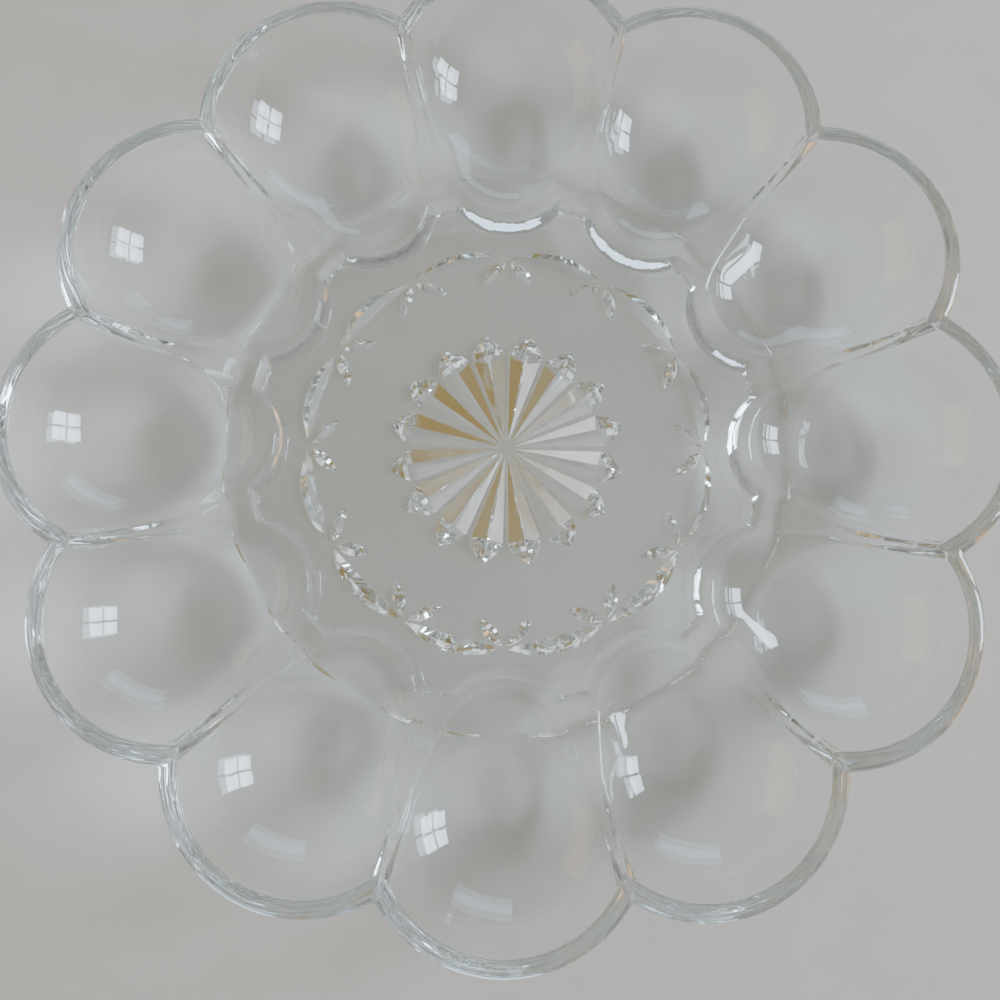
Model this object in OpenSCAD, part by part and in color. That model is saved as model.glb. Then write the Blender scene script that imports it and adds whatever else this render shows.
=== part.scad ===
// Deviled egg platter in clear pressed glass.
// One solid piece: a flat medallion with a cut star and leaves in its underside,
// and round it a ring of egg-shaped wells whose outer ends scallop the rim.
// Millimetres, +Z up. The origin is the centre of the foot, on the table.

/* [Plate] */
// Width over two opposite petal tips
plate_d = 250.8; // [235:0.1:265]
// Height from the table to the top of the rim
plate_h = 28; // [26:0.5:31]
// Number of egg wells round the plate
well_count = 12; // [12:1:12]
// Radius in plan of one petal of the rim
petal_r = 34.45; // [33.5:0.05:35.5]
// Thickness of the rounded rim
lip_t = 5.8; // [5:0.1:6.6]
// Width of the flat land along the top of the rim
lip_land = 2; // [1.5:0.1:2.5]
// Radius of the bead of glass in the notch between two petals
bead_r = 3.2; // [2.8:0.1:3.6]
// How far the bead fills the notch
bead_proud = 0.8; // [0.6:0.1:1]

/* [Wells] */
// Glass under the deepest point of a well
well_floor_t = 4.5; // [3.5:0.1:5.5]
// How far the rim stands proud of the wall under it
lip_proud = 0.1; // [0.05:0.01:0.3]
// Radius of the small end of the egg
nose_r = 24; // [22:0.5:26]
// Glass under the small end of the egg
nose_floor_t = 6; // [5:0.1:7]
// Distance from the plate's centre to the small end of a well
well_start_r = 63.6; // [62.5:0.1:65]

/* [Ridges] */
// Height of the crest round the medallion
crest_h = 12; // [11:0.1:13]
// Height of a ridge between two wells at its lowest point
ridge_h = 14; // [13.5:0.1:15]
// Distance from the plate's centre to where a ridge runs into the rim
ridge_end_r = 105.2; // [104.5:0.1:106.5]
// Distance from the plate's centre to the valley between two lobes
valley_r = 70.5; // [69:0.1:72]

/* [Medallion] */
// Glass thickness of the medallion
floor_t = 5.5; // [4.5:0.1:6.5]
// Distance from the plate's centre to the foot of a lobe
dish_r = 57.9; // [57.5:0.1:59]
// Radius in plan of a lobe at its foot
lobe_r = 19.3; // [18.5:0.1:20]
// How far a lobe draws in from its foot to its crest
lobe_draft = 2.8; // [2:0.1:3.4]
// Radius of the flat foot under the medallion and the small ends
foot_r = 84; // [83:0.5:86]

/* [Star] */
// Number of rays in the star
ray_count = 16; // [12:1:16]
// Radius of the star at the tips of its rays
star_r = 32.4; // [30:0.1:35]
// Radius of the plain hub where the rays begin
hub_r = 1.6; // [1:0.1:3]
// Share of the star's radius at which a ray is widest
belly_share = 0.8; // [0.76:0.01:0.9]
// Widest part of a ray
ray_w = 8.8; // [6:0.1:9.2]
// Depth of a ray where it is widest
ray_depth = 3.9; // [2:0.1:4.2]

/* [Leaves] */
// Distance from the plate's centre to the points where the large leaves meet
leaf_tip_r = 54.6; // [53:0.1:55]
// Distance from the plate's centre to the back of a large leaf
leaf_back_r = 57.3; // [57:0.1:58]
// Gap between the tips of two large leaves
leaf_gap = 1.2; // [0.8:0.1:3]
// Depth of a large leaf
leaf_depth = 2.1; // [1:0.1:2.4]
// Length of a small leaf
sprig_l = 9.6; // [7:0.1:11]
// Width of a small leaf
sprig_w = 3.3; // [2:0.1:4]
// Depth of a small leaf
sprig_depth = 1.6; // [0.8:0.1:1.8]
// Distance from a large leaf's tip to the near end of its small leaves
sprig_gap = 1.2; // [0.8:0.1:3]
// Angle of a small leaf from the line to the plate's centre
sprig_a = 41; // [35:1:46]

/* [Hidden] */
$fn = 96;

// Radius of the arc with a given half chord and rise
function arc_r(half, rise) = (half * half + rise * rise) / (2 * rise);

// How far every cut runs past the surface it opens
over = lip_t;
pitch_a = 360 / well_count;
half_a = pitch_a / 2;

// The rim and the ball that makes the big end of each egg
lip_r = lip_t / 2;
lip_z = plate_h - sqrt(pow(lip_r, 2) - pow(lip_land / 2, 2));
lip_pos = petal_r - lip_r;
well_pos = plate_d / 2 - petal_r;
mouth_r = petal_r - lip_t;
bowl_r = arc_r(mouth_r, lip_z - well_floor_t);
bowl_z = well_floor_t + bowl_r;
shell_r = norm([petal_r - lip_proud, bowl_z - lip_z]);
// The share of the lip's radius up to which the bowl's own wall forms the mouth
mouth_share = 0.3;

// The small end of the egg, and the axis from its centre to the big one's
nose_z = nose_floor_t + nose_r;
nose_pos = well_start_r + sqrt(pow(nose_r, 2) - pow(nose_z - crest_h, 2));
egg_run = well_pos - nose_pos;
egg_rise = bowl_z - nose_z;
egg_l = norm([egg_run, egg_rise]);
egg_tilt = atan2(egg_rise, egg_run);
egg_flare = asin((bowl_r - nose_r) / egg_l);

// The straight flank leaves both balls a little inside their common tangent
flank_slack = 6;
flank_start = nose_r * [cos(egg_flare + flank_slack), -sin(egg_flare + flank_slack)];
flank_end = [0, egg_l] + bowl_r * [cos(egg_flare - flank_slack), -sin(egg_flare - flank_slack)];
flank_dir = (flank_end - flank_start) / norm(flank_end - flank_start);
flank_low = flank_start - lip_land / 2 * flank_dir;
flank_high = flank_end + lip_land / 2 * flank_dir;

// The ridge line, an arc in the plane between two wells
ridge_pos = well_pos * cos(half_a);
ridge_r = arc_r(ridge_end_r - ridge_pos, lip_z - ridge_h);

// The beads that round the notches, a little below the rim's widest level
notch_pos = ridge_pos + sqrt(pow(petal_r, 2) - pow(well_pos * sin(half_a), 2));
bead_pos = notch_pos + bead_proud - bead_r;
bead_z = lip_z - bead_proud;

// The lobes and the hub, which reach up past the crest as far as the ridges' low points
lobe_pos = dish_r + lobe_r;
top_draft = lobe_draft * ridge_h / crest_h;

// The cuts, as stations along each one: distance, and share of the full width and depth
belly_r = star_r * belly_share;
arch_shares = [0.4, 0.7, 0.9];
ray_stations = [
    [hub_r, 0],
    [belly_r, 1],
    for (t = arch_shares) [belly_r + t * (star_r - belly_r), 1 - t * t],
    [star_r, 0]
];
lens_shares = [-1, -0.6, -0.2, 0.2, 0.6, 1];
sprig_stations = [for (t = lens_shares) [t * sprig_l / 2, 1 - t * t]];

// The leaves
leaf_chord = leaf_tip_r * cos(half_a);
leaf_half = leaf_tip_r * sin(half_a) - leaf_gap / 2;
leaf_w = leaf_back_r - leaf_chord;
leaf_r = arc_r(leaf_half, leaf_w);
leaf_slope = 2 * leaf_depth / leaf_w;

glass = [0.86, 0.9, 0.9, 0.55];

// Repeats its children round the plate
module ring(count, start = 0) {
    for (i = [0 : count - 1])
        rotate(start + i * 360 / count) children();
}

// The big end of a well's hollow
module big_end() {
    translate([well_pos, 0, bowl_z]) sphere(bowl_r);
}

// The small end of a well's hollow
module small_end() {
    translate([nose_pos, 0, nose_z]) sphere(nose_r);
}

// The flank that joins the two ends into an egg, along the egg's own tilted axis
module flank() {
    translate([nose_pos, 0, nose_z])
        rotate([0, 90 - egg_tilt, 0])
            translate([0, 0, flank_low.y])
                cylinder(r1 = flank_low.x, r2 = flank_high.x, h = flank_high.y - flank_low.y);
}

// The inner half of the lip's rounding, where the hollow opens out to the rim
module mouth() {
    translate([well_pos, 0, 0])
        rotate_extrude()
            difference() {
                translate([0, lip_z + mouth_share * lip_r]) square([lip_pos, plate_h]);
                translate([lip_pos, lip_z]) circle(lip_r);
            }
}

// The outside of one cup, with a flat pad below and the rim's rounding above
module cup() {
    translate([well_pos, 0, 0])
        rotate_extrude()
            intersection() {
                translate([0, bowl_z]) circle(shell_r);
                union() {
                    square([2 * petal_r, lip_z]);
                    square([lip_pos, plate_h]);
                    translate([lip_pos, lip_z]) circle(lip_r);
                }
                square([2 * petal_r, plate_h]);
            }
}

// The bead that rounds the bottom of the notch between two petals
module bead() {
    translate([bead_pos, 0, bead_z]) sphere(bead_r);
}

// One lobe of the crest, drawn in towards its top
module lobe() {
    translate([lobe_pos, 0, 0])
        cylinder(r1 = lobe_r, r2 = lobe_r - top_draft, h = ridge_h);
}

// The disc that carries the medallion and closes the gaps between the small ends
module hub() {
    cylinder(r1 = foot_r, r2 = foot_r + top_draft, h = ridge_h);
}

// The open space over the medallion, between the lobes
module pocket() {
    difference() {
        translate([0, 0, floor_t])
            cylinder(r1 = valley_r - lobe_draft, r2 = valley_r, h = plate_h);
        ring(well_count) lobe();
    }
}

// The space above the crest and the ridges, turned round the plate's axis
module sky() {
    rotate_extrude() {
        polygon([
            [0, crest_h],
            [valley_r, crest_h],
            [ridge_pos, ridge_h],
            [ridge_pos, plate_h + over],
            [0, plate_h + over]
        ]);
        intersection() {
            translate([ridge_pos, ridge_h + ridge_r]) circle(ridge_r);
            translate([ridge_pos - ridge_r, 0]) square([2 * ridge_r, plate_h + over]);
        }
    }
}

// A V-shaped groove along +X with pointed ends, through the stations given
module blade(stations, width, depth) {
    rings = len(stations) - 2;
    tip = 4 * rings + 1;
    points = [
        [stations[0].x, 0, 0],
        for (i = [1 : rings])
            for (corner = [[0, depth], [width / 2, 0], [0, -depth], [-width / 2, 0]])
                [stations[i].x, corner.x * stations[i].y, corner.y * stations[i].y],
        [stations[rings + 1].x, 0, 0]
    ];
    first_faces = [for (j = [0 : 3]) [0, 1 + (j + 1) % 4, 1 + j]];
    side_faces = [
        for (i = [0 : rings - 2])
            for (j = [0 : 3])
                [
                    1 + 4 * i + j,
                    1 + 4 * i + (j + 1) % 4,
                    5 + 4 * i + (j + 1) % 4,
                    5 + 4 * i + j
                ]
    ];
    last_faces = [for (j = [0 : 3]) [tip, tip - 4 + j, tip - 4 + (j + 1) % 4]];
    polyhedron(points, concat(first_faces, side_faces, last_faces));
}

// One ray of the star: it widens and deepens from the hub and ends in a pointed arch
module ray() {
    blade(ray_stations, ray_w, ray_depth);
}

// One large leaf: a straight inner facet meets a round outer one
module leaf() {
    intersection() {
        translate([leaf_back_r - leaf_r, 0, -over * leaf_slope])
            cylinder(r1 = leaf_r + over, r2 = 0, h = (leaf_r + over) * leaf_slope);
        rotate([90, 0, 0])
            linear_extrude(height = 2 * leaf_r, center = true)
                polygon([
                    [leaf_chord - over, -over * leaf_slope],
                    [leaf_chord + leaf_w, leaf_w * leaf_slope],
                    [leaf_chord + leaf_w + over, -over * leaf_slope]
                ]);
    }
}

// The two small leaves that spring from the point where two large ones meet
module sprig() {
    for (side = [-1, 1])
        translate([leaf_tip_r, 0, 0])
            rotate(180 + side * sprig_a)
                translate([sprig_gap + sprig_l / 2, 0, 0])
                    blade(sprig_stations, sprig_w, sprig_depth);
}

// The cuts in the underside of the medallion
module cuts() {
    ring(ray_count, 180 / ray_count) ray();
    ring(well_count, half_a) leaf();
    ring(well_count) sprig();
}

// The outside of the pressed piece: the hub and the cups, with the space over the medallion
module blank() {
    difference() {
        union() {
            hub();
            ring(well_count) cup();
            ring(well_count, half_a) bead();
        }
        pocket();
    }
}

// The whole pressed piece: its ridges and star, then the wells' big ends, then their small ends
module platter() {
    color(glass)
        difference() {
            difference() {
                difference() {
                    blank();
                    sky();
                    cuts();
                }
                ring(well_count) big_end();
                ring(well_count) mouth();
            }
            ring(well_count) small_end();
            ring(well_count) flank();
        }
}

platter();
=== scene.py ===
# %% [markdown]
# # A deviled egg platter in clear pressed glass
# The real thing is one piece. A gob of glass is dropped into an iron mould, a plunger presses it
# into shape in one stroke, and a flame then melts the sharp edges round. So it has no joints:
# a flat medallion in the middle, a crest with twelve lobes round it, twelve wells shaped like half
# an egg, thin ridges between the wells, and a rounded rim that follows every well.
# The looks come from three things: smooth bent surfaces that act as lenses, crisp facets cut in the
# underside, and what the studio gives the glass to mirror. This lesson makes them in that order.

# %% Load the frame
from math import atan2, cos, degrees, hypot, pi, radians, sin, sqrt

import bmesh
import bpy
import numpy as np
from mathutils import Matrix, Vector


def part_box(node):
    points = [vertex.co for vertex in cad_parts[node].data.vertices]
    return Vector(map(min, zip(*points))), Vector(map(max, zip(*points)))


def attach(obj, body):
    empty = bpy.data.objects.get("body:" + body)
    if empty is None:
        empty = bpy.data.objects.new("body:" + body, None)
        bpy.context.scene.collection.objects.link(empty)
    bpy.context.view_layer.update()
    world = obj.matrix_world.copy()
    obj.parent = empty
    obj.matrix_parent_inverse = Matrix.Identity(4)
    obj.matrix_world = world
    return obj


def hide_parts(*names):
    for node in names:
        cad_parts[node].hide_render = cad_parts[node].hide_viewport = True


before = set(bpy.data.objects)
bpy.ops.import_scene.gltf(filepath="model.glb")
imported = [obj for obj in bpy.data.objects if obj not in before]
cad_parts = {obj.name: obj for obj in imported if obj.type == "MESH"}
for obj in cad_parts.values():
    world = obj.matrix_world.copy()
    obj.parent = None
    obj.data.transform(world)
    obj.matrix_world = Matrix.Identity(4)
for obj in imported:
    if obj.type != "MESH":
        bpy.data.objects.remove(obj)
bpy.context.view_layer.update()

# %% [markdown]
# ## The sizes of the plate
# Everything is measured in millimetres here, as the mould maker's drawing is, and turned into metres
# only when a point goes into a mesh. The overall width and height come from the solid itself. The
# other numbers are the mould's own: where the balls that shape a well sit, how high the crest is,
# how thick the glass is. A name that ends in _r is a radius, in _h or _z a height, in _t a thickness.

# %% The rim and the wells, in millimetres
MM = 0.001
low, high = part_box("platter")
plate_d = (high.x - low.x) / MM
plate_h = (high.z - low.z) / MM

well_count = 12
half_a = radians(180 / well_count)
petal_r = 34.45
lip_r = 2.9
lip_land = 2.0
well_floor_t = 4.5
nose_floor_t = 6.0
nose_r = 24.0
well_start_r = 63.6
rim_trim = 0.1
print(f"plate {plate_d:.1f} mm wide, {plate_h:.1f} mm high, {well_count} wells")

# %% The ridges, the crest, the medallion and the foot, in millimetres
crest_h = 12.0
ridge_h = 14.0
ridge_end_r = 105.2
valley_r = 70.5
floor_t = 5.5
dish_r = 57.9
lobe_r = 19.3
lobe_draft = 2.8
wall_slope = 0.1
hub_r = 76.0
foot_start_r = 74.0
hub_lean = 2.0
hub_h = 9.0
star_ring_r = 58.6
print(f"medallion {floor_t} mm thick, crest {crest_h} mm high, foot {2 * foot_start_r} mm wide")

# %% Places that follow from those sizes
lip_z = plate_h - sqrt(lip_r**2 - (lip_land / 2) ** 2)
well_pos = plate_d / 2 - petal_r
lip_pos = petal_r - lip_r
mouth_r = lip_pos - lip_r
bowl_r = (mouth_r**2 + (lip_z - well_floor_t) ** 2) / (2 * (lip_z - well_floor_t))
bowl_z = well_floor_t + bowl_r
shell_r = hypot(petal_r - rim_trim, bowl_z - lip_z)
nose_z = nose_floor_t + nose_r
nose_pos = well_start_r + sqrt(nose_r**2 - (nose_z - crest_h) ** 2)
ridge_pos = well_pos * cos(half_a)
ridge_half = ridge_end_r - ridge_pos
ridge_r = (ridge_half**2 + (lip_z - ridge_h) ** 2) / (2 * (lip_z - ridge_h))
lobe_pos = dish_r + lobe_r
print(f"well centres at {well_pos:.2f} mm; bowl radius {bowl_r:.2f} mm; rim centre at {lip_z:.2f} mm")

# %% [markdown]
# ## The mould as one formula
# A pressed surface has no sharp edges: where two faces of the mould meet, the glass rounds the
# corner by itself. A boolean of solids would leave every edge sharp, and a bevel on so many curved
# edges is fragile. Instead the glass is written as a distance: one function that gives, for any
# point, how far it lies outside the glass (or inside, below zero). Two shapes are joined or cut with
# a rounded minimum or maximum, which leaves a fillet of a chosen size where they meet.


# %% Rounded joins and cuts
def joined(a, b, fillet):
    """The distance to two shapes joined into one, with a fillet in the corner between them."""
    near = np.maximum(fillet - np.abs(a - b), 0.0)
    return np.minimum(a, b) - near * near / (4 * fillet)


def overlap(a, b, fillet):
    """The distance to what two shapes share, with the edge between them rounded."""
    return -joined(-a, -b, fillet)


pair = joined(np.ones(1), np.ones(1), 2.0)
print(f"two planes 1 mm away, joined with a 2 mm fillet: {pair[0]:.2f} mm away")

# %% [markdown]
# ## How round each edge is
# The flame softens a thin edge more than a thick one, and the mould's own corners are cut with a
# small radius. So each kind of edge has its own fillet, all under a millimetre where the hand meets
# them, and a wide one only where the foot runs into the wells.

# %% Fillets in millimetres
EDGE = 0.8
CREST_EDGE = 0.9
CREST_FROM_R = 90.0
CREST_EASE = 14.0
GROOVE = 0.9
RIM_JOIN = 0.4
RIDGE_EDGE = 0.3
RIDGE_SHARE = 0.7
TOP_EDGE = 0.6
FOOT_EDGE = 0.7
FOOT_FILLET = 2.5


def edge_at(r):
    """How round the pressed edges are at this radius: a little softer on the crest than at the rim."""
    return EDGE + (CREST_EDGE - EDGE) * np.clip((CREST_FROM_R - r) / CREST_EASE, 0, 1)


print("edges on the crest and at the rim:", edge_at(np.array([valley_r, ridge_end_r])), "mm")

# %% [markdown]
# ## The mould's shapes
# A well is not a plain bowl. It is what a ball sweeps out as it grows from the small end of the egg
# to the big end, so its walls run on without a seam. Outside, a larger ball follows the big end, and
# the rim's own rounding holds it in. The crest is cut by twelve upright lobes that lean in a little,
# so that the plunger comes free.

# %% How the egg's ball grows along its axis
egg_run = hypot(well_pos - nose_pos, bowl_z - nose_z)
egg_axis = np.array([(well_pos - nose_pos) / egg_run, (bowl_z - nose_z) / egg_run])
egg_grow = (bowl_r - nose_r) / egg_run
print(f"the ball grows from {nose_r:.1f} to {bowl_r:.1f} mm over {egg_run:.1f} mm")


# %% Wells and lobes
def turned(x, y, angle):
    """Plan position seen from a well that stands at this angle round the plate."""
    c, s = cos(angle), sin(angle)
    return c * x + s * y, c * y - s * x


def egg(x, y, z):
    """The hollow of one well: every ball from the small end to the big end of the egg."""
    dx, dz = x - nose_pos, z - nose_z
    along = dx * egg_axis[0] + dz * egg_axis[1]
    across = np.sqrt(np.maximum(dx * dx + y * y + dz * dz - along * along, 1e-12))
    at = np.clip(along + egg_grow * across / sqrt(1 - egg_grow**2), 0, egg_run)
    return np.hypot(along - at, across) - nose_r - egg_grow * at


def cup(x, y, z):
    """The outside of one well: a ball, held in by the rim's own rounding."""
    flat = np.hypot(x - well_pos, y)
    ball = np.sqrt(flat * flat + (z - bowl_z) ** 2) - shell_r
    qx, qz = flat - lip_pos, z - lip_z
    rim = np.minimum(np.maximum(qx, qz), 0) + np.hypot(np.maximum(qx, 0), np.maximum(qz, 0)) - lip_r
    return overlap(ball, rim, RIM_JOIN)


def lobe(x, y, z):
    """One lobe of the crest, drawn in a little towards its top."""
    flat = np.hypot(x - lobe_pos, y)
    return flat - lobe_r + lobe_draft * z / crest_h


# %% The height of the crest and the ridges
SKY_JOIN = 0.4
SKY_SLANT = 0.95  # a slanting top is a little nearer than it is high
ARC_SHARE = 0.92  # past this share of its radius an arc is too steep, so it runs on straight
END_SLOPE = 2.3


def sky_height(r):
    """How high the glass may reach on the crest and along a ridge, at this radius."""
    slope = (ridge_h - crest_h) / (ridge_pos - valley_r)
    cone = crest_h + slope * (r - valley_r)
    low_part = -joined(-cone, np.full_like(r, -crest_h), SKY_JOIN)
    arc_end = ridge_r * ARC_SHARE
    t = np.clip(r - ridge_pos, 0, arc_end)
    arc = ridge_h + ridge_r - np.sqrt(ridge_r**2 - t * t)
    steep = np.clip(r - ridge_pos - arc_end, 0, None) * END_SLOPE
    return np.where(r < ridge_pos, low_part, arc + steep)


for r in (valley_r, ridge_pos, ridge_end_r):
    print(f"at {r:.1f} mm from the axis the glass may reach {float(sky_height(np.full(1, r))[0]):.1f} mm")


# %% The whole glass
def parts_of(x, y, z):
    """The blank, the top it may reach, the hollows of the wells, and the medallion's wall."""
    r = np.hypot(x, y)
    xn, yn = turned(x, y, 2 * half_a)
    cups = joined(cup(x, y, z), cup(xn, yn, z), GROOVE)
    skirt = (r - foot_start_r - hub_lean * z) / hypot(1, hub_lean)
    hub = joined(r - hub_r, overlap(skirt, z - hub_h, FOOT_FILLET), FOOT_FILLET)
    blank = joined(cups, hub, FOOT_FILLET)
    lobes = joined(lobe(x, y, z), lobe(xn, yn, z), GROOVE)
    wall = overlap(r - valley_r + lobe_draft - wall_slope * (z - floor_t), -lobes, GROOVE)
    pocket = overlap(wall, floor_t - z, GROOVE)
    blank = overlap(blank, -pocket, EDGE)
    top = overlap(z - plate_h, (z - sky_height(r)) * SKY_SLANT, TOP_EDGE)
    hollows = joined(egg(x, y, z), egg(xn, yn, z), RIDGE_EDGE)
    return blank, top, hollows, wall


def glass_at(x, y, z):
    """The distance from a point to the glass, below zero inside it."""
    blank, top, hollows, _ = parts_of(x, y, z)
    edge = edge_at(np.hypot(x, y))
    solid = overlap(overlap(blank, top, edge), -hollows, RIDGE_SHARE * edge)
    return overlap(solid, -z, FOOT_EDGE)


deepest = glass_at(np.zeros(1), np.zeros(1), np.full(1, floor_t / 2))
print(f"half the thickness of the medallion: {-deepest[0]:.2f} mm")

# %% [markdown]
# ## Following the surface
# A mesh needs points on that surface, in rows that run along its edges. So the surface is followed
# in upright planes through the axis of one well, like the hands of a clock. Each column of points
# starts at the deepest point of the well and walks outward over the glass: up the well's wall, over
# the rim, the ridge or the crest, and on to the edge of this well's slice of the plate. A second
# walk does the same for the underside, from the foot under the well. A slice is 15 degrees wide,
# half a well, because the rest of the plate is its mirror image and its turns.


# %% The columns, closer together where the notch and the crest bend most
def seen_from_well(r):
    """The angle, from a well's axis, of the point at radius r on the plane between two wells."""
    return np.arctan2(r * sin(half_a), r * cos(half_a) - well_pos)


search_r = np.linspace(104, 117, 1301)
search_z = np.linspace(20, plate_h, 161)
grid_r, grid_z = np.meshgrid(search_r, search_z)
inside = glass_at(grid_r * cos(half_a), grid_r * sin(half_a), grid_z) < 0
notch_r = float(grid_r[inside].max())
notch_a = float(seen_from_well(notch_r))
ring_a = float(seen_from_well(star_ring_r))
print(f"the notch ends at {notch_r:.2f} mm, seen from the well at {degrees(notch_a):.2f} degrees")

# %% The angle of every column, in degrees from the plate's outside to its middle
column_a = np.concatenate(
    [
        np.radians(np.linspace(0, 47, 14)),
        notch_a + np.radians([-7.4, -5.6, -4.1, -2.8, -1.6, -0.7, 0, 0.3, 0.7, 1.2, 1.9, 2.8]),
        np.radians(np.linspace(62, 66, 3)),
        np.radians(np.linspace(69, 132, 20)),
        np.radians(np.linspace(134.5, 154, 12)),
        [ring_a],
        np.radians(np.linspace(158.5, 180, 8)),
    ]
)
cos_a, sin_a = np.cos(column_a), np.sin(column_a)
slice_end = well_pos * sin(half_a) / np.sin(np.maximum(column_a - half_a, 1e-3))
closed = column_a <= notch_a + 1e-9
slice_end[closed] = 2 * petal_r
ring_end = -well_pos * cos_a - np.sqrt(np.maximum(star_ring_r**2 - (well_pos * sin_a) ** 2, 0))
foot_end = np.where(column_a > ring_a - 1e-9, ring_end, slice_end)
print(f"{len(column_a)} columns, {closed.sum()} of them end on the rim")

# %% A walk along the surface
STEP = 0.12
START = 10


def section(s, z):
    """The glass in each column's own upright plane, at s from the well's axis."""
    return glass_at(well_pos + s * cos_a, s * sin_a, z)


def slope_of(s, z, e=0.004):
    """The direction straight out of the glass in that plane, and the distance to the glass."""
    gs = (section(s + e, z) - section(s - e, z)) / (2 * e)
    gz = (section(s, z + e) - section(s, z - e)) / (2 * e)
    size = np.maximum(np.hypot(gs, gz), 1e-6)
    return gs / size, gz / size, section(s, z) / size


def walk(start_z, side, stop):
    """Each column's path as (s, z) points, from the well's axis to its stop or the rim's widest point."""
    s, z = np.zeros_like(column_a), np.full_like(column_a, start_z)
    alive = np.ones(len(s), bool)
    path = [np.stack([s, z], 1)]
    while alive.any() and len(path) * STEP < plate_d:
        gs, gz, _ = slope_of(s, z)
        ts, tz = side * gz, -side * gs
        alive &= (ts > 0) | (s < START)
        ns, nz = s + STEP * ts, z + STEP * tz
        for _ in range(2):
            gs, gz, off = slope_of(ns, nz)
            ns, nz = ns - off * gs, nz - off * gz
        past = alive & (ns >= stop)
        share = np.where(past, (stop - s) / np.maximum(ns - s, 1e-9), 1.0)
        s = np.where(alive, s + share * (ns - s), s)
        z = np.where(alive, z + share * (nz - z), z)
        alive &= ~past
        path.append(np.stack([s, z], 1))
    return np.array(path)


top_path = walk(well_floor_t, 1, slice_end)
foot_path = walk(0.0, -1, foot_end)
meet = (top_path[-1] + foot_path[-1]) / 2
meet[column_a == notch_a, 0] = hypot(notch_r * sin(half_a), notch_r * cos(half_a) - well_pos)
top_path[-1][closed] = foot_path[-1][closed] = meet[closed]
print(f"the longest walks have {len(top_path)} and {len(foot_path)} steps")

# %% [markdown]
# ## Rows along the edges
# The walks are far denser than a mesh should be. Each is thinned to a fixed number of rows, spaced
# closely where the glass bends and widely where it runs straight. Three rows are tied to edges
# that every column meets in the same order: the mouth of the well, the inner edge of the crest, and
# the foot of its wall. Tied like that, the mesh lines run along the edges and never across them.


# %% Thinning a walk to rows
SLOW_SHARE = 0.3
BEND_LIMIT = 2.5


def lengths(path):
    """How far along each column's path each of its points lies."""
    legs = np.hypot(*np.moveaxis(np.diff(path, axis=0), 2, 0))
    return np.vstack([np.zeros(path.shape[1]), np.cumsum(legs, axis=0)])


def bends(path, length):
    """How sharply each column's path bends at each point, in radians per millimetre, eased a little."""
    turn = np.unwrap(np.arctan2(*np.moveaxis(np.gradient(path, axis=0)[:, :, ::-1], 2, 0)), axis=0)
    rate = np.abs(np.gradient(turn, axis=0)) / STEP
    rate[np.gradient(length, axis=0) < SLOW_SHARE * STEP] = 0
    ease = np.hanning(11)[1:-1]
    ease /= ease.sum()
    return np.apply_along_axis(lambda v: np.convolve(v, ease, "same"), 0, np.minimum(rate, BEND_LIMIT))


def thinned(path, stations, counts, plain=4.0, keen=5.0):
    """Rows of (s, z) for every column, with counts[k] steps between stations k and k + 1.

    A step is longest, about plain millimetres, where the glass runs straight, and keen says how
    much shorter it gets where the glass bends.
    """
    length = lengths(path)
    weight = 1 / plain + keen * bends(path, length)
    rows = []
    for j in range(path.shape[1]):
        total = np.concatenate([[0], np.cumsum(weight[1:, j] * np.diff(length[:, j]))])
        marks = [np.interp(st[j], length[:, j], total) for st in stations]
        at = [marks[0]]
        for a, b, n in zip(marks, marks[1:], counts):
            at += list(a + (b - a) * np.arange(1, n + 1) / n)
        where = np.interp(at, total, length[:, j])
        s, z = (np.interp(where, length[:, j], path[:, j, k]) for k in (0, 1))
        rows.append(np.stack([s, z], 1))
    return np.array(rows)


def first_after(test, start, length):
    """For each column, the first point past start where the test holds, or the end, and its length."""
    steps = np.arange(len(test))[:, None]
    hit = test & (steps > start)
    index = np.where(hit.any(axis=0), hit.argmax(axis=0), len(test) - 1)
    return index, length[index, np.arange(test.shape[1])]


# %% The rows of the top and of the underside
TOP_STEPS = [18, 11, 5, 5]  # to the well's mouth, over the ridge or crest, down its wall, and on
FOOT_STEPS = [18]
length = lengths(top_path)
s_all, z_all = top_path[..., 0], top_path[..., 1]
x_all, y_all = well_pos + s_all * cos_a, s_all * sin_a
blank, top, hollows, wall = parts_of(x_all, y_all, z_all)
outside = overlap(blank, top, edge_at(np.hypot(x_all, y_all)))
mouth_i, mouth_l = first_after(-hollows < outside, np.zeros(len(column_a)), length)
crest_i, crest_l = first_after((blank > top) & (column_a > radians(120)), mouth_i, length)
_, wall_l = first_after((floor_t - z_all > wall) & (crest_l < length[-1]), crest_i, length)
top_rows = thinned(top_path, [length[0], mouth_l, crest_l, wall_l, length[-1]], TOP_STEPS)
foot_length = lengths(foot_path)
foot_rows = thinned(foot_path, [foot_length[0], foot_length[-1]], FOOT_STEPS)
top_rows[:, -1], foot_rows[:, -1] = top_path[-1], foot_path[-1]
print("rows on the top:", top_rows.shape[1], "rows below:", foot_rows.shape[1])

# %% [markdown]
# ## One slice, its mirror image, and twelve turns
# The slice starts as a flat grid, and each of its corners is moved to its place on the glass. Rows
# that have no length in some columns, such as the crest's wall where there is only a ridge, fall
# together and are merged. Then the slice is mirrored over the well's middle, and spun round the
# plate eleven times more. Its edges meet exactly, so merging them closes the glass.


# %% One slice from a grid
MERGE = 0.004 * MM
MERGE_FINE = 0.002 * MM


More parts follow.
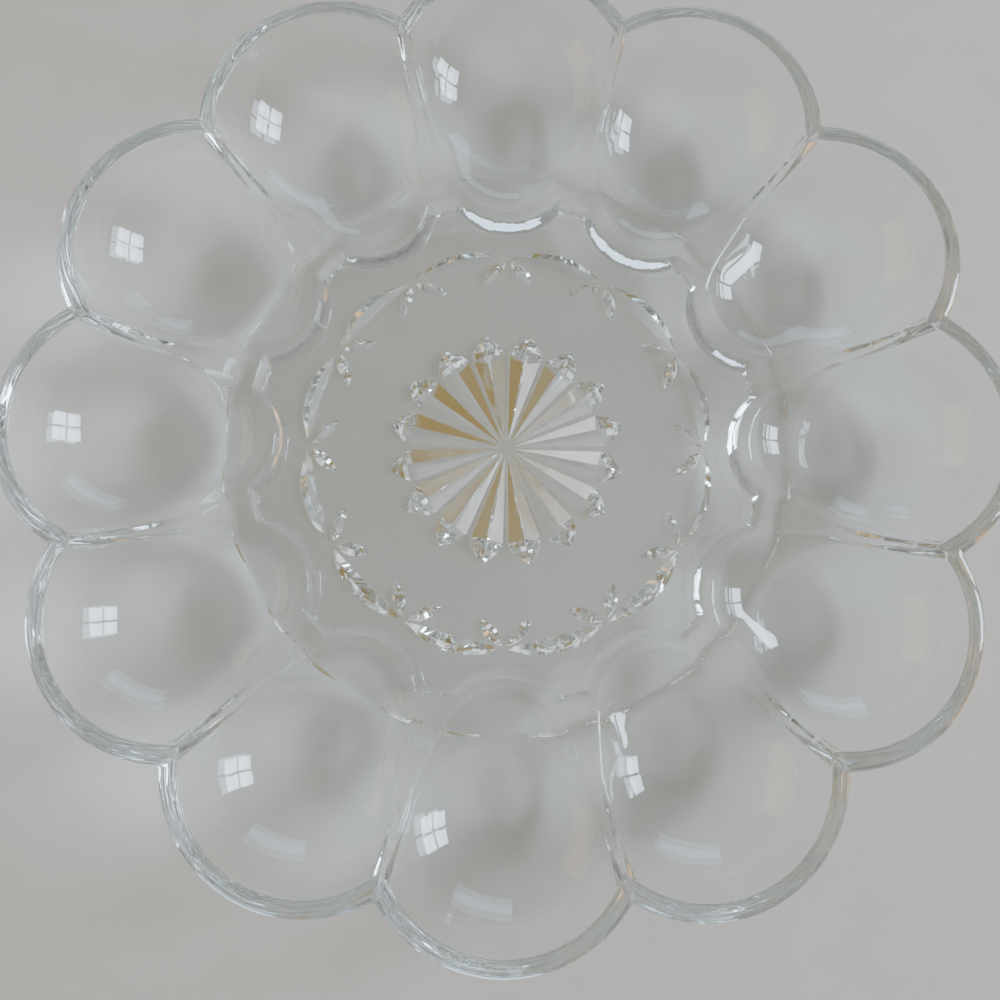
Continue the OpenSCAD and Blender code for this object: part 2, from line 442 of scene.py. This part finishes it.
def placed_grid(bm, rows, outward):
    """Adds a grid with one corner for each column and row, and moves every corner to its place."""
    across, along = rows.shape[0] - 1, rows.shape[1] - 1
    made = bmesh.ops.create_grid(bm, x_segments=across, y_segments=along, size=1)["verts"]
    for v in made:
        i, k = round((v.co.x + 1) * across / 2), round((v.co.y + 1) * along / 2)
        s, z = rows[i, k]
        v.co = Vector((well_pos + s * cos_a[i], s * sin_a[i], z)) * MM
    if outward:
        bmesh.ops.reverse_faces(bm, faces=list({f for v in made for f in v.link_faces}))


plate = bmesh.new()
placed_grid(plate, top_rows, True)
placed_grid(plate, foot_rows, False)
bmesh.ops.remove_doubles(plate, verts=plate.verts, dist=MERGE)
bmesh.ops.dissolve_degenerate(plate, edges=plate.edges, dist=MERGE)
print("one slice:", len(plate.verts), "vertices,", len(plate.faces), "faces")

# %% Mirror and spin
half = plate.verts[:] + plate.edges[:] + plate.faces[:]
bmesh.ops.mirror(plate, geom=half, axis="Y", merge_dist=MERGE_FINE)
bmesh.ops.remove_doubles(plate, verts=plate.verts, dist=MERGE_FINE)
whole_well = plate.verts[:] + plate.edges[:] + plate.faces[:]
bmesh.ops.spin(
    plate,
    geom=whole_well,
    cent=(0, 0, 0),
    axis=(0, 0, 1),
    angle=2 * pi * (well_count - 1) / well_count,
    steps=well_count - 1,
    use_duplicate=True,
)
bmesh.ops.remove_doubles(plate, verts=plate.verts, dist=MERGE_FINE)
bmesh.ops.recalc_face_normals(plate, faces=plate.faces)
rim_edges = [e for e in plate.edges if e.is_boundary]
print("spun:", len(plate.faces), "faces; open edges, all on the star's ring:", len(rim_edges))
radii = [hypot(v.co.x, v.co.y) / MM for e in rim_edges for v in e.verts]
print(f"their radii: {min(radii):.3f} to {max(radii):.3f} mm")

# %% [markdown]
# ## The star and the leaves
# The underside of the medallion carries the cut pattern: a star of sixteen rays, twelve crescent
# leaves in a ring, and a pair of small leaves at each point where two crescents meet. Each is a
# groove with a keel, and its facets are flat and crisp, because this part of the mould is cut with
# a wheel. So these faces are shaded flat. Each groove is made once, as a small grid of three lines:
# its two sides on the underside and its keel a little way up in the glass. Then it is spun round.
# The sides are steeper than 41 degrees. From above, glass that steep mirrors light instead of letting
# it through, and the next ray's facet sends that light up again, so the star shows the ceiling.

# %% Sizes of the pattern in millimetres
ray_count, star_r, eye_r, belly_share, ray_w, ray_depth = 16, 32.4, 1.6, 0.8, 8.8, 4.1
leaf_tip_r, leaf_back_r, leaf_gap, leaf_depth = 54.6, 57.3, 1.2, 2.4
sprig_l, sprig_w, sprig_depth, sprig_gap, sprig_a = 9.6, 3.3, 1.8, 1.2, radians(41)
print(f"the star's facets lean {degrees(atan2(ray_depth, ray_w / 2)):.1f} degrees")


# %% A groove from stations along its keel
def groove(bm, stations, move):
    """A faceted groove. A station is (x, left edge, keel, right edge, keel's depth), in millimetres."""
    made = bmesh.ops.create_grid(bm, x_segments=len(stations) - 1, y_segments=2, size=1)["verts"]
    for v in made:
        x, left, keel, right, depth = stations[round((v.co.x + 1) * (len(stations) - 1) / 2)]
        line = round(v.co.y + 1)
        v.co = Vector((x, (left, keel, right)[line], (0, depth, 0)[line])) * MM
    bmesh.ops.transform(bm, matrix=move, verts=made)
    bmesh.ops.remove_doubles(bm, verts=made, dist=MERGE_FINE)


def spun_round(bm, count):
    """Turns everything in the mesh round the plate's axis, count times in all."""
    every = bm.verts[:] + bm.edges[:] + bm.faces[:]
    turn = 2 * pi * (count - 1) / count
    bmesh.ops.spin(bm, geom=every, axis=(0, 0, 1), angle=turn, steps=count - 1, use_duplicate=True)


# %% The star, which is widest near its tips
belly_r = star_r * belly_share
ray = [(eye_r, 0, 0, 0, 0), (belly_r, -ray_w / 2, 0, ray_w / 2, ray_depth)]
for t in (0.25, 0.45, 0.62, 0.77, 0.9, 1.0):
    share = 1 - t * t
    half_w = share * ray_w / 2
    ray.append((belly_r + t * (star_r - belly_r), -half_w, 0, half_w, share * ray_depth))
star = bmesh.new()
groove(star, ray, Matrix.Rotation(pi / ray_count, 4, "Z"))
spun_round(star, ray_count)
print("star:", len(star.faces), "faces")

# %% The pairs of small leaves
small_leaf = []
for t in np.linspace(-1, 1, 11):
    half_w = (1 - t * t) * sprig_w / 2
    small_leaf.append((t * sprig_l / 2, -half_w, 0, half_w, (1 - t * t) * sprig_depth))
to_tip = Matrix.Translation((leaf_tip_r * MM, 0, 0))
along_leaf = Matrix.Translation(((sprig_gap + sprig_l / 2) * MM, 0, 0))
sprigs = bmesh.new()
for side in (-1, 1):
    groove(sprigs, small_leaf, to_tip @ Matrix.Rotation(pi + side * sprig_a, 4, "Z") @ along_leaf)
spun_round(sprigs, well_count)
print("small leaves:", len(sprigs.faces), "faces")

# %% The ring of crescent leaves
leaf_chord = leaf_tip_r * cos(half_a)
leaf_half = leaf_tip_r * sin(half_a) - leaf_gap / 2
leaf_w = leaf_back_r - leaf_chord
leaf_arc = (leaf_half**2 + leaf_w**2) / (2 * leaf_w)
leaves = bmesh.new()
crescent = []
for t in np.linspace(-1, 1, 15):
    back = leaf_back_r - leaf_arc + sqrt(leaf_arc**2 - (t * leaf_half) ** 2) - leaf_chord
    crescent.append((t * leaf_half, 0, back / 2, back, leaf_depth * back / leaf_w))
swapped = Matrix(((0, 1, 0, 0), (1, 0, 0, 0), (0, 0, 1, 0), (0, 0, 0, 1)))
to_chord = Matrix.Translation((leaf_chord * MM, 0, 0))
groove(leaves, crescent, Matrix.Rotation(half_a, 4, "Z") @ to_chord @ swapped)
spun_round(leaves, well_count)
print("crescent leaves:", len(leaves.faces), "faces")

# %% Let the grooves into the underside
for grooves in (star, sprigs, leaves):
    cut = bpy.data.meshes.new("cut")
    grooves.to_mesh(cut)
    grooves.free()
    before = set(plate.faces)
    plate.from_mesh(cut)
    for f in plate.faces:
        if f not in before:
            f.material_index = 1
    bpy.data.meshes.remove(cut)
outlines = [e for e in plate.edges if e.is_boundary]
down = (0, 0, -1)
filled = bmesh.ops.triangle_fill(
    plate, edges=outlines, use_beauty=True, use_dissolve=False, normal=down
)
for f in filled["geom"]:
    if isinstance(f, bmesh.types.BMFace):
        f.material_index = 1
bmesh.ops.recalc_face_normals(plate, faces=plate.faces)
print("edges without exactly two faces:", sum(len(e.link_faces) != 2 for e in plate.edges))
print("triangles:", sum(len(f.verts) - 2 for f in plate.faces))
print("volume:", round(plate.calc_volume(signed=True) * 1e6, 1), "cm3")

# %% [markdown]
# ## Smooth light on smooth glass
# Glass shows every fault in a surface twice, once on the way in and once on the way out, so averaged
# normals on a mesh of this size would still show as faint stripes. The formula knows the true
# direction of the surface at every point, so each corner of the mesh gets that direction as its
# normal. Only the cut facets keep the flat normal of their own face.

# %% The platter's mesh
for f in plate.faces:
    f.smooth = f.material_index == 0
facet = [f.material_index == 1 for f in plate.faces]
for f in plate.faces:
    f.material_index = 0
glass_mesh = bpy.data.meshes.new("pressed_platter")
plate.to_mesh(glass_mesh)
plate.free()
print("flat facets:", sum(facet))

# %% Every corner, turned home to the first well
co = np.zeros(len(glass_mesh.vertices) * 3)
glass_mesh.vertices.foreach_get("co", co)
co = co.reshape(-1, 3) / MM
around = np.arctan2(co[:, 1], co[:, 0])
home = np.round(around / (2 * half_a)) * 2 * half_a
home_cos, home_sin = np.cos(home), np.sin(home)
hx = home_cos * co[:, 0] + home_sin * co[:, 1]
hy = home_cos * co[:, 1] - home_sin * co[:, 0]
flip = np.where(hy < 0, -1.0, 1.0)
hy = np.abs(hy)
hz = co[:, 2]
print("corners below the mirror plane of their well:", int((flip < 0).sum()))

# %% The direction of the glass at every corner
PROBE = 0.01
normal = np.stack(
    [
        glass_at(hx + PROBE, hy, hz) - glass_at(hx - PROBE, hy, hz),
        glass_at(hx, hy + PROBE, hz) - glass_at(hx, hy - PROBE, hz),
        glass_at(hx, hy, hz + PROBE) - glass_at(hx, hy, hz - PROBE),
    ],
    1,
)
normal /= np.maximum(np.linalg.norm(normal, axis=1, keepdims=True), 1e-12)
normal[:, 1] *= flip
normal[:, 0], normal[:, 1] = (
    home_cos * normal[:, 0] - home_sin * normal[:, 1],
    home_sin * normal[:, 0] + home_cos * normal[:, 1],
)
corner = np.zeros(len(glass_mesh.loops), np.int64)
glass_mesh.loops.foreach_get("vertex_index", corner)
corner_normal = normal[corner]
for f, flat in zip(glass_mesh.polygons, facet):
    if flat:
        corner_normal[f.loop_start : f.loop_start + f.loop_total] = f.normal
glass_mesh.normals_split_custom_set(corner_normal.tolist())
print("corners with an exact normal:", len(corner_normal))

# %% The platter itself
platter = bpy.data.objects.new("pressed_platter", glass_mesh)
bpy.context.scene.collection.objects.link(platter)
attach(platter, "root")
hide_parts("platter")
print(platter.name, "is", [round(d / MM, 1) for d in platter.dimensions], "mm")

# %% [markdown]
# ## The glass
# Soda-lime glass bends light by 1.52. It looks colourless in a thin sheet, but the iron in its sand
# tints a long way through it grey-green, so the tint belongs to the inside of the glass, as
# absorption, and thick parts such as the rim take more of it. Fire-polished glass is nearly a
# mirror, with very low, slow waves left by the mould, which a faint bump gives at 9 mm. A finer
# pattern at 2.4 mm varies the haze a little, as washing and handling do.
# Real glass also casts a shadow: where it slants steeply to a lamp it bends the light away, and the
# floor behind it is darker. Following every bent ray would be slow and noisy, so shadow rays pass
# straight through, dimmed by how steeply the glass stands to them. That draws the soft dark shapes
# under the wells, and the darker line below each ridge.


# %% Helpers for colours and nodes
def colour(hex_code):
    """An sRGB colour such as #aabbcc in the linear numbers that shaders use."""
    channels = [int(hex_code[i : i + 2], 16) / 255 for i in (1, 3, 5)]
    return [c / 12.92 if c <= 0.04045 else ((c + 0.055) / 1.055) ** 2.4 for c in channels] + [1.0]


def node(tree, kind, settings=None, **links):
    """Adds a shader node, sets its inputs by name, and links the inputs that are given as sockets."""
    made = tree.nodes.new(kind)
    for name, value in (settings or {}).items():
        if hasattr(made, name):
            setattr(made, name, value)
        else:
            made.inputs[name].default_value = value
    for name, socket in links.items():
        tree.links.new(socket, made.inputs[name.replace("_", " ")])
    return made


def new_material(name):
    """An empty material and its node tree."""
    made = bpy.data.materials.new(name)
    made.use_nodes = True
    made.node_tree.nodes.clear()
    return made, made.node_tree


print("mid grey in linear numbers:", round(colour("#808080")[0], 3))

# %% Pressed soda-lime glass, fire polished: slow waves that bend each highlight a little
WAVE = 9.09
HANDLING = 2.381
glass, tree = new_material("pressed_soda_lime_glass")
place = node(tree, "ShaderNodeTexCoord")
wave_look = {"Scale": 1 / (WAVE * MM), "Detail": 1.5, "Roughness": 0.45}
waves = node(tree, "ShaderNodeTexNoise", wave_look, Vector=place.outputs["Object"])
relief = node(tree, "ShaderNodeBump", {"Strength": 0.12, "Distance": 0.0006}, Height=waves.outputs["Fac"])
wear_look = {"Scale": 1 / (HANDLING * MM), "Detail": 4.0, "Roughness": 0.6}
wear = node(tree, "ShaderNodeTexNoise", wear_look, Vector=place.outputs["Object"])
haze_range = {"From Min": 0.45, "From Max": 0.8, "To Min": 0.004, "To Max": 0.03}
haze = node(tree, "ShaderNodeMapRange", haze_range, Value=wear.outputs["Fac"])
body = node(
    tree,
    "ShaderNodeBsdfPrincipled",
    {"Base Color": colour("#fbfdfc"), "IOR": 1.52, "Transmission Weight": 1.0},
    Normal=relief.outputs["Normal"],
    Roughness=haze.outputs["Result"],
)
print("waves every", WAVE, "mm, haze every", HANDLING, "mm")

# %% The shadow that clear glass casts: light where it lies flat to the lamp, dark where it stands steep
slant = node(tree, "ShaderNodeLayerWeight", {"Blend": 0.5})
dim = node(tree, "ShaderNodeValToRGB", {}, Fac=slant.outputs["Facing"])
dim.color_ramp.elements[0].color = colour("#fafcfb")
dim.color_ramp.elements[1].color = colour("#202624")
dim.color_ramp.elements[0].position = 0.2
dim.color_ramp.elements[1].position = 0.8
lamps = node(tree, "ShaderNodeBsdfTransparent", {}, Color=dim.outputs["Color"])
path = node(tree, "ShaderNodeLightPath")
both = node(tree, "ShaderNodeMixShader")
tree.links.new(path.outputs["Is Shadow Ray"], both.inputs[0])
tree.links.new(body.outputs[0], both.inputs[1])
tree.links.new(lamps.outputs[0], both.inputs[2])

# %% The grey-green tint inside the glass, which deepens with the way that light goes through it
tint = node(tree, "ShaderNodeVolumeAbsorption", {"Color": colour("#d6dedb"), "Density": 6.0})
node(tree, "ShaderNodeOutputMaterial", {}, Surface=both.outputs[0], Volume=tint.outputs[0])
glass_mesh.materials.append(glass)
print(glass.name, "has", len(tree.nodes), "nodes")

# %% [markdown]
# ## The floor
# The plate lies on a plain pale floor, painted matt, with tones so close that it reads as one colour.
# It runs on far past the plate, so that the glass's edges see floor on every side. It lies a fifth of
# a millimetre under the foot, because glass that touches it exactly would flicker between the two.

# %% The floor
FLOOR_HALF = 5
FLOOR_DROP = 0.0002
floor_mesh = bpy.data.meshes.new("floor")
sheet = bmesh.new()
bmesh.ops.create_grid(sheet, x_segments=1, y_segments=1, size=FLOOR_HALF)
sheet.to_mesh(floor_mesh)
sheet.free()
floor = bpy.data.objects.new("floor", floor_mesh)
bpy.context.scene.collection.objects.link(floor)
floor.location.z = -FLOOR_DROP
print("floor", 2 * FLOOR_HALF, "m wide")

# %% Matt floor paint: rough enough to mirror nothing, with a faint roller mottle at 17 mm
MOTTLE = 16.67
floor_paint, tree = new_material("matt_pale_paint")
place = node(tree, "ShaderNodeTexCoord")
mottle_look = {"Scale": 1 / (MOTTLE * MM), "Detail": 3.0, "Roughness": 0.5}
grain = node(tree, "ShaderNodeTexNoise", mottle_look, Vector=place.outputs["Object"])
tone = node(tree, "ShaderNodeValToRGB", {}, Fac=grain.outputs["Fac"])
tone.color_ramp.elements[0].color = colour("#c3bcb2")
tone.color_ramp.elements[1].color = colour("#cdc6bc")
paint = node(tree, "ShaderNodeBsdfPrincipled", {"Roughness": 0.85}, Base_Color=tone.outputs["Color"])
node(tree, "ShaderNodeOutputMaterial", {}, Surface=paint.outputs[0])
floor_mesh.materials.append(floor_paint)
print(floor_paint.name, "has", len(tree.nodes), "nodes")

# %% [markdown]
# ## The light
# Clear glass is only ever seen by what it mirrors and bends, so the studio matters as much as the
# material. Each light here has a job. A cool window of four panes on the right is mirrored in the
# left wall of every well, which is why it stands low and has bars. A long low window beyond the plate
# runs along the crest's arcs, and a low warm wall on the left warms the edges that face it. The
# ceiling has a cool half and a warm half, which the star's facets mirror as silver and gold. It
# darkens towards the floor, and that draws the dark lines along the rim.


# %% Soft lamps
def lamp(name, where, size, watts, hex_code, aim=(0, 0, 0)):
    """A soft rectangular lamp that looks at a point of the plate."""
    data = bpy.data.lights.new(name, "AREA")
    data.shape, data.size, data.size_y = "RECTANGLE", size[0], size[1]
    data.energy, data.color = watts, colour(hex_code)[:3]
    made = bpy.data.objects.new(name, data)
    bpy.context.scene.collection.objects.link(made)
    made.location = where
    made.rotation_euler = (Vector(aim) - Vector(where)).to_track_quat("-Z", "Y").to_euler()
    print(f"{name}: {watts} W, {hypot(*where):.2f} m away")


# %% The window of four panes, with the bars as the gaps between them
WINDOW_UP = radians(24)
WINDOW_ROUND = radians(5)
WINDOW_FAR = 1.7
PANE_STEP = 0.2
PANE_SIZE = 0.34
level = Vector((cos(WINDOW_ROUND), sin(WINDOW_ROUND), 0))
window_way = cos(WINDOW_UP) * level + Vector((0, 0, sin(WINDOW_UP)))
window_side = Vector((0, 0, 1)).cross(window_way).normalized()
window_up = window_way.cross(window_side)
for across in (-1, 1):
    for upward in (-1, 1):
        spot = WINDOW_FAR * window_way + PANE_STEP * (across * window_side + upward * window_up)
        lamp(f"pane_{across}_{upward}", spot, (PANE_SIZE, PANE_SIZE), 11, "#d3e6fd", aim=spot - window_way)

# %% The long window beyond the plate and the warm wall on the left
lamp("far_window", (0.5, 1.7, 0.42), (1.5, 0.45), 7, "#bfdaf6")
lamp("warm_wall", (-1.5, 0.1, 0.45), (1.6, 0.6), 4, "#ffbe72")

# %% The walls and the ceiling: dark near the floor, a cool half and a warm half overhead
world = bpy.data.worlds.new("studio")
bpy.context.scene.world = world
world.use_nodes = True
tree = world.node_tree
way = node(tree, "ShaderNodeTexCoord")
split = node(tree, "ShaderNodeSeparateXYZ", {}, Vector=way.outputs["Generated"])
walls = node(tree, "ShaderNodeValToRGB", {}, Fac=split.outputs["Z"])
walls.color_ramp.elements[0].color = colour("#2a2724")
walls.color_ramp.elements[1].color = colour("#a9aaa8")
walls.color_ramp.elements[1].position = 0.8
shade = walls.outputs["Color"]
soft_edge = {"interpolation_type": "SMOOTHSTEP", "From Min": 0.78, "From Max": 0.99}
for towards, hex_code in (((0.3, -0.3, 0.9), "#f4faff"), ((-0.3, 0.28, 0.91), "#86744a")):
    near = node(tree, "ShaderNodeVectorMath", {"operation": "DOT_PRODUCT"}, Vector=way.outputs["Generated"])
    near.inputs[1].default_value = towards
    glow = node(tree, "ShaderNodeMapRange", soft_edge, Value=near.outputs["Value"])
    blend = node(
        tree,
        "ShaderNodeMixRGB",
        {"Color2": colour(hex_code)},
        Fac=glow.outputs["Result"],
        Color1=shade,
    )
    shade = blend.outputs["Color"]
tree.links.new(shade, tree.nodes["Background"].inputs["Color"])
tree.nodes["Background"].inputs["Strength"].default_value = 1.5
print(world.name, "has", len(tree.nodes), "nodes")

# %% [markdown]
# ## How often light may bounce
# Inside the rim, light is mirrored from wall to wall many times before it comes out. Cycles stops
# following a ray after four mirror bounces, and what it drops is black. So the rim would be full of
# black lines that clear glass doesn't have. A higher limit lets that light out.

# %% Bounces
bpy.context.scene.cycles.max_bounces = 32
bpy.context.scene.cycles.glossy_bounces = 24
bpy.context.scene.cycles.transmission_bounces = 32
print("bounces:", bpy.context.scene.cycles.max_bounces)

# %% [markdown]
# ## The camera
# The photograph looks almost straight down from about 20 cm with a wide lens, so near parts of the
# rim look larger than the medallion, and the far walls of the wells show more than the near ones.
# The place, the tilt and the lens were fitted to the twelve arcs of the rim.

# %% The camera at the photograph's angle
camera = bpy.data.cameras.new("camera")
camera.sensor_width = 36
camera.lens = 27.04
camera.clip_start = 0.01
eye = bpy.data.objects.new("camera", camera)
bpy.context.scene.collection.objects.link(eye)
eye.location = (-0.0023, -0.0391, 0.2054)
turn = Matrix.Rotation(radians(0.61), 4, "Z")
lean = Matrix.Rotation(radians(-0.26), 4, "Y")
nod = Matrix.Rotation(radians(6.9), 4, "X")
eye.rotation_euler = (turn @ lean @ nod).to_euler()
bpy.context.scene.camera = eye
print(f"camera {eye.location.z / MM:.0f} mm above the floor, lens {camera.lens} mm")
